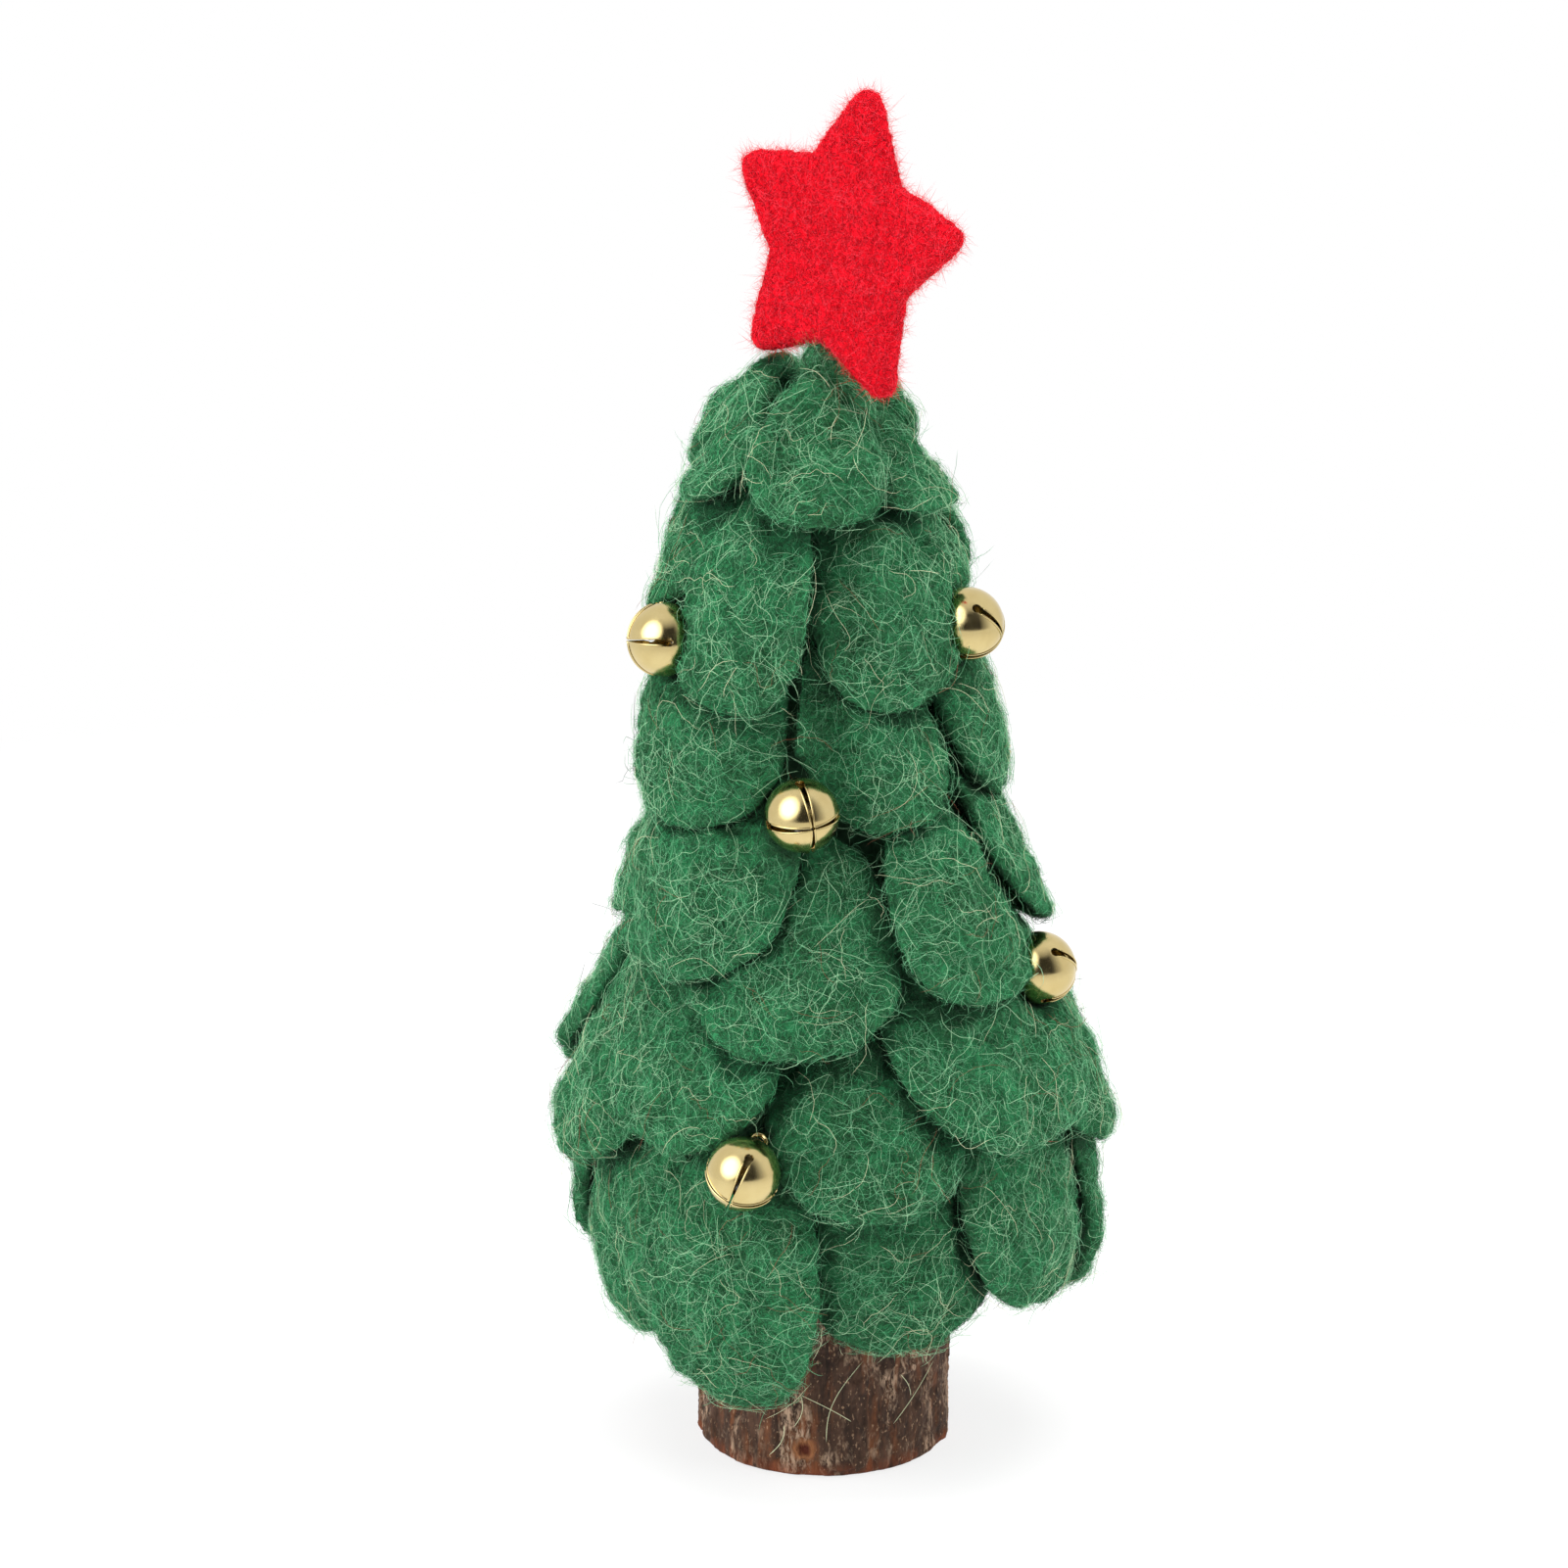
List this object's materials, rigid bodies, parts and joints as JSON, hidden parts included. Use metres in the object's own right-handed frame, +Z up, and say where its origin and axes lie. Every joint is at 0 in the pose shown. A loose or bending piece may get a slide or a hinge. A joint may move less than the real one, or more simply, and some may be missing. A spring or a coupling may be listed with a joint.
{
  "type": "felt christmas tree",
  "caption": "Tabletop Christmas tree of overlapping green felt petals on a sawn log, with small brass jingle bells and a red felt star.",
  "frame": {"origin": "centre of the log's sawn foot", "axes": "+Z up the log, the tree's front faces -Y"},
  "size_m": [0.0628, 0.068, 0.1535],
  "materials": {
    "bark": "rough dark bark",
    "foam": "green expanded foam",
    "green_felt": "hairy green wool felt",
    "red_felt": "hairy red wool felt",
    "brass": "polished pale gold",
    "steel": "plain",
    "glue": "clear dried glue"
  },
  "bodies": {
    "root": {"log_trunk": "bark", "foam_core": "foam", "petal_hem_1": "green_felt", "petal_hem_2": "green_felt", "petal_hem_3": "green_felt", "petal_hem_4": "green_felt", "petal_hem_5": "green_felt", "petal_hem_6": "green_felt", "petal_hem_7": "green_felt", "petal_hem_8": "green_felt", "petal_low_1": "green_felt", "petal_low_2": "green_felt", "petal_low_3": "green_felt", "petal_low_4": "green_felt", "petal_low_5": "green_felt", "petal_low_6": "green_felt", "petal_low_7": "green_felt", "petal_low_8": "green_felt", "petal_waist_1": "green_felt", "petal_waist_2": "green_felt", "petal_waist_3": "green_felt", "petal_waist_4": "green_felt", "petal_waist_5": "green_felt", "petal_waist_6": "green_felt", "petal_waist_7": "green_felt", "petal_middle_1": "green_felt", "petal_middle_2": "green_felt", "petal_middle_3": "green_felt", "petal_middle_4": "green_felt", "petal_middle_5": "green_felt", "petal_middle_6": "green_felt", "petal_high_1": "green_felt", "petal_high_2": "green_felt", "petal_high_3": "green_felt", "petal_high_4": "green_felt", "petal_high_5": "green_felt", "petal_high_6": "green_felt", "petal_top_1": "green_felt", "petal_top_2": "green_felt", "petal_top_3": "green_felt", "petal_top_4": "green_felt", "petal_top_5": "green_felt", "bell_1": "brass", "bell_2": "brass", "bell_3": "brass", "bell_4": "brass", "bell_5": "brass", "bell_6": "brass", "bell_7": "brass", "bell_8": "brass", "felt_star": "red_felt", "star_glue": "glue"},
    "loose_bell_pellet_1": {"bell_pellet_1": "steel"},
    "loose_bell_pellet_2": {"bell_pellet_2": "steel"},
    "loose_bell_pellet_3": {"bell_pellet_3": "steel"},
    "loose_bell_pellet_4": {"bell_pellet_4": "steel"},
    "loose_bell_pellet_5": {"bell_pellet_5": "steel"},
    "loose_bell_pellet_6": {"bell_pellet_6": "steel"},
    "loose_bell_pellet_7": {"bell_pellet_7": "steel"},
    "loose_bell_pellet_8": {"bell_pellet_8": "steel"}
  },
  "joints": [
    {"name": "bell_1_rattle", "type": "slide", "parent": "root", "child": "loose_bell_pellet_1", "axis": [0, 0, 1], "range_m": [0, 0.0039]},
    {"name": "bell_2_rattle", "type": "slide", "parent": "root", "child": "loose_bell_pellet_2", "axis": [0, 0, 1], "range_m": [0, 0.0039]},
    {"name": "bell_3_rattle", "type": "slide", "parent": "root", "child": "loose_bell_pellet_3", "axis": [0, 0, 1], "range_m": [0, 0.0039]},
    {"name": "bell_4_rattle", "type": "slide", "parent": "root", "child": "loose_bell_pellet_4", "axis": [0, 0, 1], "range_m": [0, 0.0039]},
    {"name": "bell_5_rattle", "type": "slide", "parent": "root", "child": "loose_bell_pellet_5", "axis": [0, 0, 1], "range_m": [0, 0.0039]},
    {"name": "bell_6_rattle", "type": "slide", "parent": "root", "child": "loose_bell_pellet_6", "axis": [0, 0, 1], "range_m": [0, 0.0039]},
    {"name": "bell_7_rattle", "type": "slide", "parent": "root", "child": "loose_bell_pellet_7", "axis": [0, 0, 1], "range_m": [0, 0.0039]},
    {"name": "bell_8_rattle", "type": "slide", "parent": "root", "child": "loose_bell_pellet_8", "axis": [0, 0, 1], "range_m": [0, 0.0039]}
  ]
}
